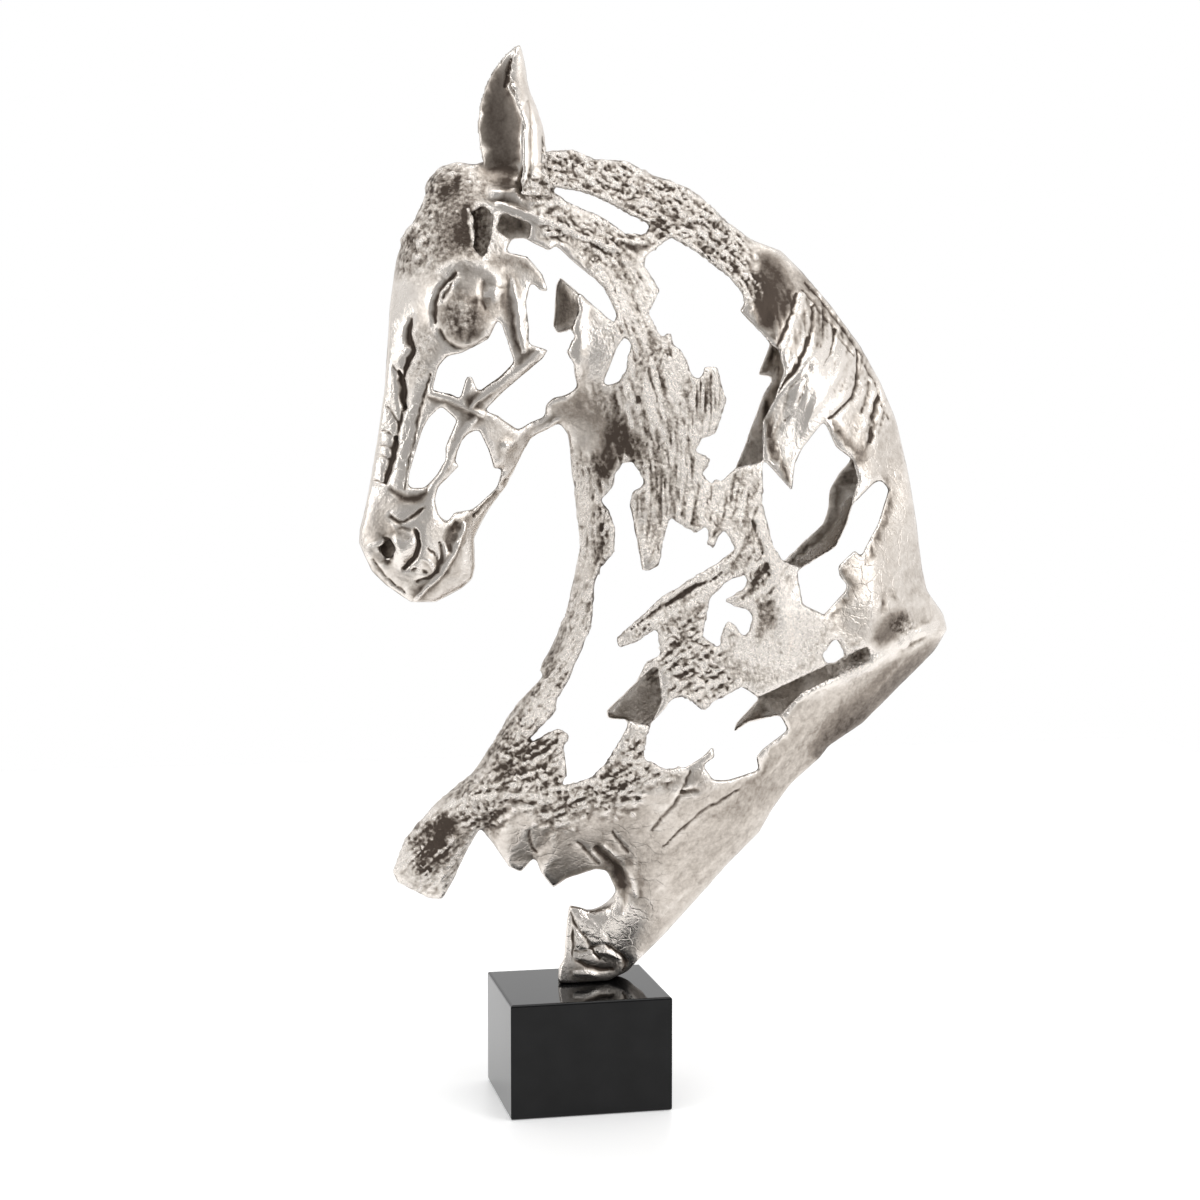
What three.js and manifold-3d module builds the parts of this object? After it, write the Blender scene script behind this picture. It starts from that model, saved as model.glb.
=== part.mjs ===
// Openwork horse head and neck, one thin casting torn open on both sides, on a polished black block.
// Millimetres, +Z up. The head looks along -X and its near side faces -Y.
// The origin is the middle of the block's underside.

import * as THREE from "three";
import { mergeVertices } from "three/addons/utils/BufferGeometryUtils.js";
import Module from "manifold-3d";

const wasm = await Module();
wasm.setup();

// Driving sizes
const HEAD_HEIGHT = 625; // block top to ear tip
const WALL = 3.8; // thickness of the casting's skin
const RIM = 4; // half thickness of the casting along its outer edge
const ROUNDING = 50; // how far in from the outer edge the skin bulges to its full width
const EAR_WALL = 4.4;
const FOOT_FORWARD = 14; // middle of the foot from the middle of the block, along X
const FOOT_SETBACK = 10; // middle plane of the casting behind the middle of the block
const BLOCK_WIDTH = 108;
const BLOCK_DEPTH = 95;
const BLOCK_HEIGHT = 76;
const BLOCK_EDGE = 1.6; // rounding of the block's edges
const SEAT_GAP = 0.3; // between the foot and the block top
const SLIVER = 0.25; // facets thinner than this are taken into their neighbours
const GRID = 21; // spacing of the skin's facets
const FACE_GRID = 15; // the same in front of the eye

// The side drawing is in squares. It is drawn in perspective from one standing place, so that the
// openings of both sides line up for a viewer there. The place is in millimetres at drawn size.
const STANDING_PLACE = new THREE.Vector3(-284, -1416, 437);
const TURN = THREE.MathUtils.degToRad(12); // the viewer looks this far back along the neck
const DIP = THREE.MathUtils.degToRad(4); // and this far down
const REACH = 2170; // squares from the viewer to the drawing
const MIDDLE = 600; // the square that the viewer looks at, across and down
const EAR_TIP = [517, 45];
const FOOT_MARK = [595, 979];

// Outer edge of the casting in squares, round from the poll along crest, back, foot, chest, jaw and nose
const OUTER_EDGE = [
  [541, 153], [572, 150], [595, 160], [625, 161], [656, 177], [683, 186], [700, 196], [727, 223],
  [752, 240], [781, 251], [803, 273], [831, 306], [860, 346], [880, 382], [896, 420], [908, 472],
  [916, 520], [922, 570], [927, 591], [943, 614], [947, 629], [935, 650], [918, 667], [893, 692],
  [862, 723], [828, 746], [820, 757], [790, 784], [772, 809], [759, 832], [731, 860], [697, 898],
  [661, 938], [634, 964], [628, 971], [611, 979], [606, 999], [556, 999], [559, 967], [564, 959],
  [566, 930], [569, 905], [580, 907], [590, 911], [612, 901], [616, 890], [607, 870], [595, 869],
  [567, 878], [553, 888], [541, 872], [535, 856], [521, 872], [509, 867], [494, 844], [480, 827],
  [467, 849], [447, 891], [442, 899], [429, 898], [398, 882], [393, 872], [405, 840], [436, 803],
  [473, 773], [494, 742], [517, 704], [544, 677], [540, 669], [552, 646], [568, 610], [574, 577],
  [581, 546], [577, 514], [572, 466], [568, 434], [560, 423], [547, 428], [531, 437], [522, 451],
  [506, 485], [487, 512], [474, 537], [475, 567], [472, 579], [462, 588], [436, 602], [411, 602],
  [386, 585], [372, 571], [359, 543], [360, 529], [365, 510], [370, 484], [378, 436], [385, 386],
  [390, 306], [397, 253], [403, 248], [400, 240], [414, 223], [426, 196], [427, 183], [439, 168],
  [457, 162], [474, 165], [494, 158],
];

// Openings through both sides
const THROUGH_OPENINGS = {
  upper_cheek: [
    [499, 316], [510, 350], [514, 362], [499, 377], [478, 392], [472, 376], [466, 377], [460, 399],
    [447, 393], [432, 392], [438, 367], [447, 356], [462, 353], [489, 339],
  ],
  cheek: [
    [506, 252], [512, 239], [524, 238], [549, 251], [556, 245], [573, 262], [602, 285], [616, 312],
    [616, 325], [577, 291], [560, 277], [556, 285], [553, 327], [558, 334], [572, 329], [577, 336],
    [566, 352], [575, 363], [577, 388], [566, 395], [553, 398], [546, 405], [545, 417], [531, 422],
    [518, 430], [497, 415], [484, 411], [503, 392], [543, 358], [548, 350], [529, 344], [529, 327],
    [526, 302], [531, 281], [541, 291], [548, 291], [543, 275], [527, 256],
  ],
  cheek_crescent: [[625, 336], [631, 344], [625, 372], [618, 382], [602, 386], [610, 365], [616, 350]],
  jaw_slit: [
    [441, 406], [457, 420], [445, 448], [446, 461], [436, 476], [424, 488], [408, 488], [409, 474],
    [422, 430], [428, 419],
  ],
  jaw: [
    [479, 429], [489, 451], [494, 469], [503, 467], [497, 487], [482, 502], [472, 510], [455, 512],
    [447, 523], [438, 514], [435, 499], [438, 487], [459, 466], [455, 462], [460, 441], [466, 435],
  ],
  poll: [
    [547, 187], [562, 187], [595, 196], [629, 214], [650, 224], [646, 235], [625, 233], [604, 218],
    [566, 202],
  ],
  throat: [
    [613, 487], [615, 474], [623, 462], [633, 462], [644, 480], [640, 489], [631, 492], [630, 503],
    [637, 541], [642, 570], [648, 571], [659, 566], [666, 529], [671, 517], [680, 524], [696, 534],
    [708, 524], [709, 537], [706, 544], [713, 548], [724, 529], [735, 548], [719, 562], [663, 596],
    [631, 625], [617, 638], [619, 648], [636, 642], [657, 628], [661, 654], [646, 663], [636, 682],
    [606, 711], [608, 719], [627, 720], [628, 726], [606, 763], [589, 778], [560, 787], [567, 773],
    [563, 746], [570, 736], [559, 728], [519, 749], [538, 729], [555, 712], [555, 702], [568, 680],
    [591, 625], [594, 583], [602, 564], [614, 552], [615, 529], [608, 510], [600, 500],
  ],
  crest: [
    [671, 237], [700, 254], [731, 279], [742, 292], [745, 304], [739, 310], [767, 340], [770, 344],
    [762, 365], [758, 375], [773, 377], [763, 395], [744, 447], [736, 467], [721, 482], [713, 478],
    [715, 489], [702, 474], [711, 459], [694, 451], [702, 439], [715, 434], [726, 401], [717, 367],
    [705, 367], [702, 378], [694, 378], [682, 351], [673, 344], [671, 332], [666, 336], [660, 336],
    [648, 313], [660, 290], [644, 265], [646, 256],
  ],
  mane: [
    [762, 422], [764, 443], [766, 462], [780, 478], [792, 491], [795, 464], [803, 447], [824, 421],
    [836, 447], [852, 459], [838, 474], [829, 490], [828, 509], [823, 524], [805, 540], [783, 562],
    [773, 548], [763, 504],
  ],
  withers: [
    [881, 480], [889, 489], [878, 524], [864, 550], [862, 558], [855, 550], [838, 566], [839, 575],
    [847, 585], [845, 591], [824, 615], [803, 604], [797, 571], [836, 547], [847, 524], [853, 504],
    [874, 483],
  ],
  ring: [
    [747, 573], [746, 585], [740, 592], [723, 600], [736, 607], [749, 610], [753, 619], [746, 638],
    [728, 620], [723, 629], [719, 648], [702, 636], [705, 623], [711, 596], [728, 581],
  ],
  shoulder: [
    [682, 696], [694, 702], [704, 711], [713, 702], [742, 687], [759, 698], [736, 723], [733, 733],
    [747, 723], [780, 715], [788, 730], [763, 749], [756, 757], [759, 770], [728, 780], [713, 780],
    [703, 765], [715, 757], [713, 746], [702, 757], [686, 767], [667, 769], [644, 759], [645, 744],
    [650, 726], [671, 700],
  ],
  pocket: [[822, 654], [836, 637], [844, 652], [843, 659], [826, 664]],
};

// Openings of the near side alone, which show the inside of the far side
const NEAR_OPENINGS = {
  under_ear: [[472, 212], [482, 205], [493, 216], [490, 240], [484, 260], [474, 250]],
  behind_ear: [[497, 231], [501, 212], [531, 224], [529, 238], [511, 239]],
  leaf: [[577, 291], [560, 277], [553, 327], [558, 334], [572, 329], [580, 310]],
  strand: [[770, 344], [758, 375], [773, 377], [763, 395], [775, 398], [784, 372], [779, 350]],
  upper_strand: [[763, 395], [744, 447], [736, 467], [762, 462], [762, 422], [775, 398]],
  strap: [[852, 459], [838, 474], [829, 490], [823, 524], [783, 562], [800, 567], [836, 545], [847, 520], [858, 480]],
  wedge: [[657, 664], [636, 682], [606, 711], [608, 719], [627, 720], [650, 726], [662, 700]],
  inner_slot: [[735, 733], [747, 723], [780, 715], [800, 694], [870, 660], [868, 646], [800, 678], [757, 698]],
};

// Half widths of the casting at named places: across, down, millimetres
const HALF_WIDTHS = {
  muzzle: [415, 550, 30],
  nose: [398, 430, 25],
  face: [430, 340, 38],
  eye: [455, 300, 47],
  forehead: [425, 235, 42],
  poll: [500, 195, 40],
  cheek: [560, 330, 46],
  jaw: [510, 440, 32],
  throat: [590, 450, 34],
  crest: [620, 190, 28],
  upper_crest: [740, 260, 30],
  neck: [670, 400, 48],
  back: [850, 420, 42],
  lower_neck: [740, 600, 60],
  withers: [910, 600, 46],
  chest: [520, 770, 48],
  chest_tip: [420, 865, 34],
  shoulder: [700, 760, 60],
  skirt: [640, 870, 42],
  foot: [590, 965, 15],
};

// Swellings on both sides: across, down, reach in squares, millimetres proud
const SWELLINGS = {
  eyelid: [462, 318, 26, 8],
  brow: [470, 283, 20, 5],
  nostril: [399, 546, 20, 6],
  lower_lip: [444, 588, 18, 5],
  jaw_edge: [505, 455, 22, 5],
  cheek_edge: [600, 345, 26, 6],
  mane_plate: [820, 365, 40, 7],
  mane_lock: [770, 290, 26, 6],
  withers_fold: [880, 600, 34, 8],
  chest_fold: [470, 790, 34, 7],
  skirt_fold: [640, 810, 46, 8],
};

// Furrows cut into the skin of both sides: half width in millimetres, then squares along them
const FURROWS = {
  eye_crease: [2.6, [455, 275], [446, 290], [436, 306], [440, 322]],
  mouth: [2.4, [400, 588], [412, 577], [428, 572], [444, 560]],
  nostril_fold: [2.4, [404, 568], [415, 560], [420, 545], [414, 530]],
  nose_crack: [2, [412, 320], [406, 339], [412, 354], [398, 386], [405, 409], [398, 430], [385, 480]],
  mane_part: [2.4, [757, 332], [790, 345], [815, 375], [824, 415]],
  mane_curl: [2.4, [800, 322], [832, 352], [850, 400], [852, 440]],
  throat_fold: [2.2, [640, 395], [622, 430], [600, 455], [594, 492]],
  chest_edge: [2.6, [452, 812], [500, 800], [560, 806], [620, 800], [700, 790]],
  withers_edge: [2.6, [790, 700], [836, 684], [884, 658], [930, 636]],
  back_fold: [2.2, [868, 452], [884, 500], [890, 560], [880, 620]],
};

const NOSTRIL = [[380, 549], [385, 540], [392, 541], [396, 549], [392, 558], [384, 558]];
const FAR_NOSTRIL_SHIFT = 17; // in squares, so that no daylight shows through the two nostrils

// The near ear in squares, from its root up: its front edge, its fold line and its back edge
const EAR_FRONT = [[492, 196], [482, 160], [477, 122], [484, 88], [498, 62], [515, 45]];
const EAR_FOLD = [[521, 196], [522, 160], [523, 122], [513, 92], [506, 70], [516, 46]];
const EAR_BACK = [[548, 196], [542, 160], [537, 122], [527, 92], [524, 64], [519, 45]];
const EAR_FOLD_OUT = 46; // the fold line's distance from the middle plane
const EAR_BACK_OUT = 33;
const EAR_FRONT_OUT = 16;
const EAR_STEPS = [6, 8]; // facets round the ear and up it

const FAR = 200; // past the casting on every side

// Places and the perspective of the drawing
const forward = new THREE.Vector3(Math.sin(TURN) * Math.cos(DIP), Math.cos(TURN) * Math.cos(DIP), -Math.sin(DIP));
const rightward = new THREE.Vector3(Math.cos(TURN), -Math.sin(TURN), 0);
const upward = new THREE.Vector3().crossVectors(rightward, forward);

function drawnPoint([across, down]) {
  const line = forward.clone().multiplyScalar(REACH);
  line.addScaledVector(rightward, across - MIDDLE);
  line.addScaledVector(upward, MIDDLE - down);
  const steps = (FOOT_SETBACK - STANDING_PLACE.y) / line.y;
  return STANDING_PLACE.clone().addScaledVector(line, steps);
}

const drawnFoot = drawnPoint(FOOT_MARK);
const SCALE = HEAD_HEIGHT / (drawnPoint(EAR_TIP).z - drawnFoot.z);
const SEAT = BLOCK_HEIGHT + SEAT_GAP;

function placed(point) {
  const from = point.clone().sub(drawnFoot).multiplyScalar(SCALE);
  return from.add(new THREE.Vector3(FOOT_FORWARD, FOOT_SETBACK, SEAT));
}

const eye = placed(STANDING_PLACE);

// A square of the drawing as x and z on the middle plane of the casting
function onPlane(square) {
  const point = placed(drawnPoint(square));
  return new THREE.Vector2(point.x, point.z);
}

// The casting is first made straight, y across its middle plane, then drawn along the sight lines
function alongSight(position) {
  for (let i = 0; i < position.length; i += 3) {
    const y = position[i + 1] + FOOT_SETBACK;
    const share = (y - eye.y) / (FOOT_SETBACK - eye.y);
    position[i] = eye.x + (position[i] - eye.x) * share;
    position[i + 1] = y;
    position[i + 2] = eye.z + (position[i + 2] - eye.z) * share;
  }
}

// Solids
function solid(geometry) {
  geometry.deleteAttribute("normal");
  geometry.deleteAttribute("uv");
  const merged = mergeVertices(geometry, 1e-4);
  const vertProperties = new Float32Array(merged.attributes.position.array);
  const triVerts = new Uint32Array(merged.index.array);
  return new wasm.Manifold(new wasm.Mesh({ numProp: 3, vertProperties, triVerts }));
}

function prism(outline, yFrom, yTo) {
  const shape = new THREE.Shape(outline.map(onPlane));
  const geometry = new THREE.ExtrudeGeometry(shape, { depth: yTo - yFrom, bevelEnabled: false });
  geometry.rotateX(Math.PI / 2);
  geometry.translate(0, yTo, 0);
  return solid(geometry);
}

// A square rod on edge along the skin, which leaves a furrow with two sloping sides
function rod(squares, radius, side) {
  const points = squares.map((square) => {
    const place = onPlane(square);
    return new THREE.Vector3(place.x, side * halfWidth(place), place.y);
  });
  const ring = new THREE.Shape([0, 1, 2, 3].map((quarter) => {
    const angle = (quarter * Math.PI) / 2;
    return new THREE.Vector2(radius * Math.cos(angle), radius * Math.sin(angle));
  }));
  const extrudePath = new THREE.CatmullRomCurve3(points);
  return solid(new THREE.ExtrudeGeometry(ring, { steps: points.length, extrudePath, curveSegments: 1 }));
}

// Half width of the casting
const edgePoints = OUTER_EDGE.map(onPlane);
const stations = Object.values(HALF_WIDTHS).map(([a, d, width]) => ({ place: onPlane([a, d]), width }));
const swellings = Object.values(SWELLINGS).map(([a, d, reach, proud]) => {
  const place = onPlane([a, d]);
  return { place, reach: place.distanceTo(onPlane([a + reach, d])), proud };
});

function insideEdge(place) {
  let inside = false;
  for (let i = 0; i < edgePoints.length; i += 1) {
    const a = edgePoints[i];
    const b = edgePoints[(i + 1) % edgePoints.length];
    const crosses = a.y > place.y !== b.y > place.y;
    if (crosses && place.x < a.x + ((place.y - a.y) * (b.x - a.x)) / (b.y - a.y)) {
      inside = !inside;
    }
  }
  return inside;
}

function fromEdge(place) {
  let nearest = Infinity;
  for (let i = 0; i < edgePoints.length; i += 1) {
    const a = edgePoints[i];
    const along = edgePoints[(i + 1) % edgePoints.length].clone().sub(a);
    const out = place.clone().sub(a);
    const share = THREE.MathUtils.clamp(out.dot(along) / along.lengthSq(), 0, 1);
    nearest = Math.min(nearest, out.distanceTo(along.multiplyScalar(share)));
  }
  return insideEdge(place) ? nearest : -nearest;
}

function fullWidth(place) {
  const spread = 55 * SCALE;
  let sum = 0;
  let weights = 0;
  for (const { place: station, width } of stations) {
    const weight = 1 / (place.distanceToSquared(station) + spread * spread * 0.1) ** 2;
    sum += width * weight;
    weights += weight;
  }
  let proud = 0;
  for (const swelling of swellings) {
    const share = place.distanceTo(swelling.place) / swelling.reach;
    proud += swelling.proud * Math.exp(-share * share);
  }
  return (sum / weights + proud) * SCALE;
}

function bulge(inset) {
  const share = 1 - THREE.MathUtils.clamp(inset / (ROUNDING * SCALE), 0, 1);
  return Math.sqrt(1 - share * share);
}

function halfWidth(place) {
  return RIM + (fullWidth(place) - RIM) * bulge(fromEdge(place));
}

function hollowWidth(place) {
  const inset = fromEdge(place) - 1.4 * WALL;
  if (inset < 0) {
    return 4 * inset;
  }
  return (fullWidth(place) - WALL) * bulge(inset) - 0.4 * WALL * (1 - bulge(inset));
}

// A block between two uneven faces, on one grid
const corner = new THREE.Box2().setFromPoints(edgePoints).expandByScalar(6);
const faceEnd = onPlane([560, 600]);

function gridLines(from, to, fineFrom, fineTo, step, fineStep) {
  const lines = [from];
  while (lines.at(-1) < to) {
    const last = lines.at(-1);
    lines.push(last + (last >= fineFrom && last < fineTo ? fineStep : step));
  }
  return lines;
}

function unevenBlock(lowFace, highFace, coarse) {
  const step = GRID * coarse * SCALE;
  const fine = FACE_GRID * coarse * SCALE;
  const columns = gridLines(corner.min.x, corner.max.x, -Infinity, faceEnd.x, step, fine);
  const rows = gridLines(corner.min.y, corner.max.y, faceEnd.y, Infinity, step, step);
  const geometry = new THREE.BoxGeometry(1, 1, 1, columns.length - 1, 1, rows.length - 1);
  const position = geometry.attributes.position;
  for (let i = 0; i < position.count; i += 1) {
    const x = columns[Math.round((position.getX(i) + 0.5) * (columns.length - 1))];
    const z = rows[Math.round((position.getZ(i) + 0.5) * (rows.length - 1))];
    const place = new THREE.Vector2(x, z);
    position.setXYZ(i, x, position.getY(i) < 0 ? lowFace(place) : highFace(place), z);
  }
  return solid(geometry);
}

function skin() {
  const body = unevenBlock((p) => -halfWidth(p), halfWidth, 1).intersect(prism(OUTER_EDGE, -FAR, FAR));
  const hollow = unevenBlock((p) => -hollowWidth(p), () => FAR, 1.25).intersect(
    unevenBlock(() => -FAR, hollowWidth, 1.25),
  );
  return body.subtract(hollow);
}

function openings() {
  const cuts = [];
  for (const outline of Object.values(THROUGH_OPENINGS)) {
    cuts.push(prism(outline, -FAR, FAR));
  }
  for (const outline of Object.values(NEAR_OPENINGS)) {
    cuts.push(prism(outline, -FAR, 0));
  }
  cuts.push(prism(NOSTRIL, -FAR, 0), prism(NOSTRIL.map(([a, d]) => [a + FAR_NOSTRIL_SHIFT, d]), 0, FAR));
  return wasm.Manifold.union(cuts);
}

function furrows() {
  const cuts = [];
  for (const [radius, ...squares] of Object.values(FURROWS)) {
    cuts.push(rod(squares, radius, -1), rod(squares, radius, 1));
  }
  return wasm.Manifold.union(cuts);
}

// One ear: a leaf folded lengthwise, open to the front
function ear(side) {
  const [round, up] = EAR_STEPS;
  const front = new THREE.SplineCurve(EAR_FRONT.map(onPlane));
  const fold = new THREE.SplineCurve(EAR_FOLD.map(onPlane));
  const back = new THREE.SplineCurve(EAR_BACK.map(onPlane));
  const geometry = new THREE.BoxGeometry(1, 1, 1, round, 1, up);
  const position = geometry.attributes.position;
  for (let i = 0; i < position.count; i += 1) {
    const share = position.getX(i) + 0.5;
    const height = position.getZ(i) + 0.5;
    const narrow = 1 - 0.85 * height ** 2;
    const level = (curve, out) => {
      const point = curve.getPoint(height);
      return new THREE.Vector3(point.x, EAR_BACK_OUT + (out - EAR_BACK_OUT) * narrow, point.y);
    };
    const a = level(fold, EAR_FOLD_OUT);
    const b = level(back, EAR_BACK_OUT);
    const c = level(front, EAR_FRONT_OUT);
    const bend = b.clone().multiplyScalar(2).addScaledVector(a, -0.5).addScaledVector(c, -0.5);
    const curve = new THREE.QuadraticBezierCurve3(a, bend, c);
    const point = curve.getPoint(share);
    const along = curve.getTangent(share);
    const outward = new THREE.Vector3(-along.y, along.x, 0).normalize();
    const thick = EAR_WALL * (1 - 0.5 * height) * (0.55 + 1.8 * share * (1 - share));
    point.addScaledVector(outward, position.getY(i) * thick);
    position.setXYZ(i, point.x, side * point.y * SCALE, point.z);
  }
  if (side * signedVolume(geometry) < 0) {
    flipFaces(geometry);
  }
  return solid(geometry);
}

function signedVolume(geometry) {
  const { position } = geometry.attributes;
  const { index } = geometry;
  const [a, b, c] = [new THREE.Vector3(), new THREE.Vector3(), new THREE.Vector3()];
  let volume = 0;
  for (let i = 0; i < index.count; i += 3) {
    a.fromBufferAttribute(position, index.getX(i));
    b.fromBufferAttribute(position, index.getX(i + 1));
    c.fromBufferAttribute(position, index.getX(i + 2));
    volume += a.dot(b.cross(c));
  }
  return volume;
}

function flipFaces(geometry) {
  const { index } = geometry;
  for (let i = 0; i < index.count; i += 3) {
    const second = index.getX(i + 1);
    index.setX(i + 1, index.getX(i + 2));
    index.setX(i + 2, second);
  }
}

function meshOf(name, manifold, material) {
  const { vertProperties, triVerts } = manifold.getMesh();
  const geometry = new THREE.BufferGeometry();
  geometry.setAttribute("position", new THREE.BufferAttribute(new Float32Array(vertProperties), 3));
  geometry.setIndex(new THREE.BufferAttribute(new Uint32Array(triVerts), 1));
  geometry.computeVertexNormals();
  const mesh = new THREE.Mesh(geometry, material);
  mesh.name = name;
  return mesh;
}

function horseHead() {
  let casting = skin().subtract(openings()).subtract(furrows());
  casting = casting.add(ear(-1)).add(ear(1));
  const { vertProperties, triVerts, numProp } = casting.getMesh();
  const position = new Float32Array(vertProperties);
  alongSight(position);
  casting = new wasm.Manifold(new wasm.Mesh({ numProp, vertProperties: position, triVerts }));
  const aboveSeat = new THREE.BoxGeometry(4 * FAR, 4 * FAR, 2 * HEAD_HEIGHT);
  aboveSeat.translate(0, 0, SEAT + HEAD_HEIGHT);
  casting = casting.intersect(solid(aboveSeat)).simplify(SLIVER);
  const pieces = casting.decompose().sort((a, b) => b.volume() - a.volume());
  const metal = new THREE.MeshStandardMaterial({ color: 0xc4c0b8, roughness: 0.34, metalness: 1 });
  return meshOf("horse_head", pieces[0], metal);
}

function plinthBlock() {
  const half = new THREE.Vector2(BLOCK_WIDTH / 2 - BLOCK_EDGE, BLOCK_DEPTH / 2 - BLOCK_EDGE);
  const outline = new THREE.Shape([
    new THREE.Vector2(-half.x, -half.y),
    new THREE.Vector2(half.x, -half.y),
    new THREE.Vector2(half.x, half.y),
    new THREE.Vector2(-half.x, half.y),
  ]);
  const geometry = new THREE.ExtrudeGeometry(outline, {
    depth: BLOCK_HEIGHT - 2 * BLOCK_EDGE,
    bevelSize: BLOCK_EDGE,
    bevelThickness: BLOCK_EDGE,
    bevelSegments: 3,
  });
  geometry.translate(0, 0, BLOCK_EDGE);
  const stone = new THREE.MeshStandardMaterial({ color: 0x101010, roughness: 0.08, metalness: 0 });
  const mesh = new THREE.Mesh(geometry, stone);
  mesh.name = "plinth_block";
  return mesh;
}

const sculpture = new THREE.Group();
sculpture.add(horseHead(), plinthBlock());

export default sculpture;
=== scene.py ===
# %% [markdown]
# # An openwork horse head in silvered cast metal, on a black block
# The real piece is one rough casting, a few millimetres thick and torn open all over, so that daylight
# shows through the cheek, the throat and the neck. The solids already have its outline, its hollow
# and its openings. This script gives the casting its worked skin, and both pieces their finish.

import functools
import math

import bmesh
import bpy
import numpy as np
from mathutils import Matrix, Vector


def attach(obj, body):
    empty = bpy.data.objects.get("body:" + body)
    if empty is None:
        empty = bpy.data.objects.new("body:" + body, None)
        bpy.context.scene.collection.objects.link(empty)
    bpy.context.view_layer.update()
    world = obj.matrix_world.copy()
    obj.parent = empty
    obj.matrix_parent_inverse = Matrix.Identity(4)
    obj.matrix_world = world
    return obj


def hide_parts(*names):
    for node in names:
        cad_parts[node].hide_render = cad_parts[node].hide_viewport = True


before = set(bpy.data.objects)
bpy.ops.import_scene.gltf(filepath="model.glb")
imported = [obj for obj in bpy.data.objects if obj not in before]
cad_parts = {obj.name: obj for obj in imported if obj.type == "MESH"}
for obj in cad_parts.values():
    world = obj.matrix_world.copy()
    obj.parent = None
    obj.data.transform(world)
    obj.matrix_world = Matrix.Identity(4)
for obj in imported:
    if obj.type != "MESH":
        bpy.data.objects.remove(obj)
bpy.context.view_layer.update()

# %% [markdown]
# ## Where the viewer stands
# The openings of the two sides line up for one viewer, who stands in front of the near side, a
# little towards the nose. All carving is placed in squares, 1200 across and 1200 down, as that viewer
# sees the horse. The camera comes first, because the squares are counted in its view.

# %% The viewer and the camera
SQUARES = 1200
REACH = 2170  # squares from the viewer to the frame
TURN = math.radians(12)
DIP = math.radians(4)
STANDING_PLACE = Vector((-0.2857, -1.4164, 0.4372))
SENSOR = 36  # mm

forward = Vector((math.sin(TURN) * math.cos(DIP), math.cos(TURN) * math.cos(DIP), -math.sin(DIP)))
rightward = Vector((math.cos(TURN), -math.sin(TURN), 0))
upward = rightward.cross(forward)


def new_object(name, data):
    made = bpy.data.objects.new(name, data)
    bpy.context.scene.collection.objects.link(made)
    return made


camera_data = bpy.data.cameras.new("viewer")
camera_data.sensor_width = SENSOR
camera_data.lens = camera_data.sensor_width * REACH / SQUARES
camera = new_object("viewer", camera_data)
turned = Matrix((rightward, upward, -forward)).transposed()
camera.matrix_world = Matrix.Translation(STANDING_PLACE) @ turned.to_4x4()
bpy.context.scene.camera = camera
print("lens:", round(camera_data.lens, 1), "mm")


def squares_of(places):
    """The square across and down at which the viewer sees each place."""
    away = places - np.array(STANDING_PLACE)
    reach = REACH / (away @ np.array(forward))
    across = SQUARES / 2 + reach * (away @ np.array(rightward))
    down = SQUARES / 2 - reach * (away @ np.array(upward))
    return np.stack([across, down], axis=1)


def spots_in(text):
    """The spots in a text such as "440,270 462,261": across, down, and a radius where it has one."""
    return np.array([spot.split(",") for spot in text.split()], float)


# %% [markdown]
# ## A fine skin over the faceted casting
# The solid has flat facets about two centimetres wide. A voxel remesh lays an even net of small
# faces over it, round every torn edge too, fine enough to carry grain and cracks.

# %% Voxel remesh
VOXEL = 0.0014
MOST_TRIANGLES = 196000


def plain_mesh_of(piece):
    """The piece's mesh with its modifiers applied."""
    seen = piece.evaluated_get(bpy.context.evaluated_depsgraph_get())
    mesh = bpy.data.meshes.new_from_object(seen)
    piece.modifiers.clear()
    piece.data = mesh
    return mesh


def merged_copy(node, name):
    """A copy of a solid in which the loose triangles share their corners."""
    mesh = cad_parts[node].data.copy()
    work = bmesh.new()
    work.from_mesh(mesh)
    bmesh.ops.remove_doubles(work, verts=work.verts, dist=1e-5)
    work.to_mesh(mesh)
    work.free()
    return new_object(name, mesh)


def lay_net(piece, size):
    remesh = piece.modifiers.new("net", "REMESH")
    remesh.mode = "VOXEL"
    remesh.voxel_size = size
    mesh = plain_mesh_of(piece)
    print("net of", len(mesh.polygons), "faces")
    return mesh


casting = merged_copy("horse_head", "cast_horse_head")
lay_net(casting, VOXEL)


def vectors_in(items, name):
    found = np.empty(len(items) * 3, np.float32)
    items.foreach_get(name, found)
    return found.reshape(-1, 3).astype(float)


def places_of(mesh):
    return vectors_in(mesh.vertices, "co")


def normals_of(mesh):
    return vectors_in(mesh.vertex_normals, "vector")


def put_places(mesh, places):
    mesh.vertices.foreach_set("co", places.astype(np.float32).ravel())
    mesh.update()


# %% [markdown]
# ## Rounding the facets away
# Each side of the casting is a skin that bulges towards one side, so its depth can be drawn as a map
# over the squares. The map is blurred, and every point of that wall, outside and inside, moves by
# the difference. The wall keeps its thickness and the torn edges keep their outline, because nothing
# moves across the line of sight. The thin ears are left as they are.

# %% Blur the depth of each wall
CELL = 3.0  # squares
MIDDLE_PLANE = 0.010  # the casting's middle plane behind the block's middle
FACET_BLUR = 12.0  # squares
FAINTEST = 0.02  # a blurred map counts where the blurred count of filled cells is above this
EAR_ROOT = (509, 33, 160, 182)  # middle and half width across, then from where to where it fades down
KERNEL_REACH = 2.5  # how many blur radii a blur reaches
FACING_OUT = 0.35  # how squarely an outer point faces away from the middle plane, at least
OFF_MIDDLE = 0.002  # how far such a point is from that plane, at least
WHOLE_MOVE = 0.006  # from this distance on, a point takes the whole move of its wall
OPEN_FACE, OPEN_RANGE = 0.5, 0.3  # the blur sets in where the wall faces out so far, then grows whole


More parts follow.
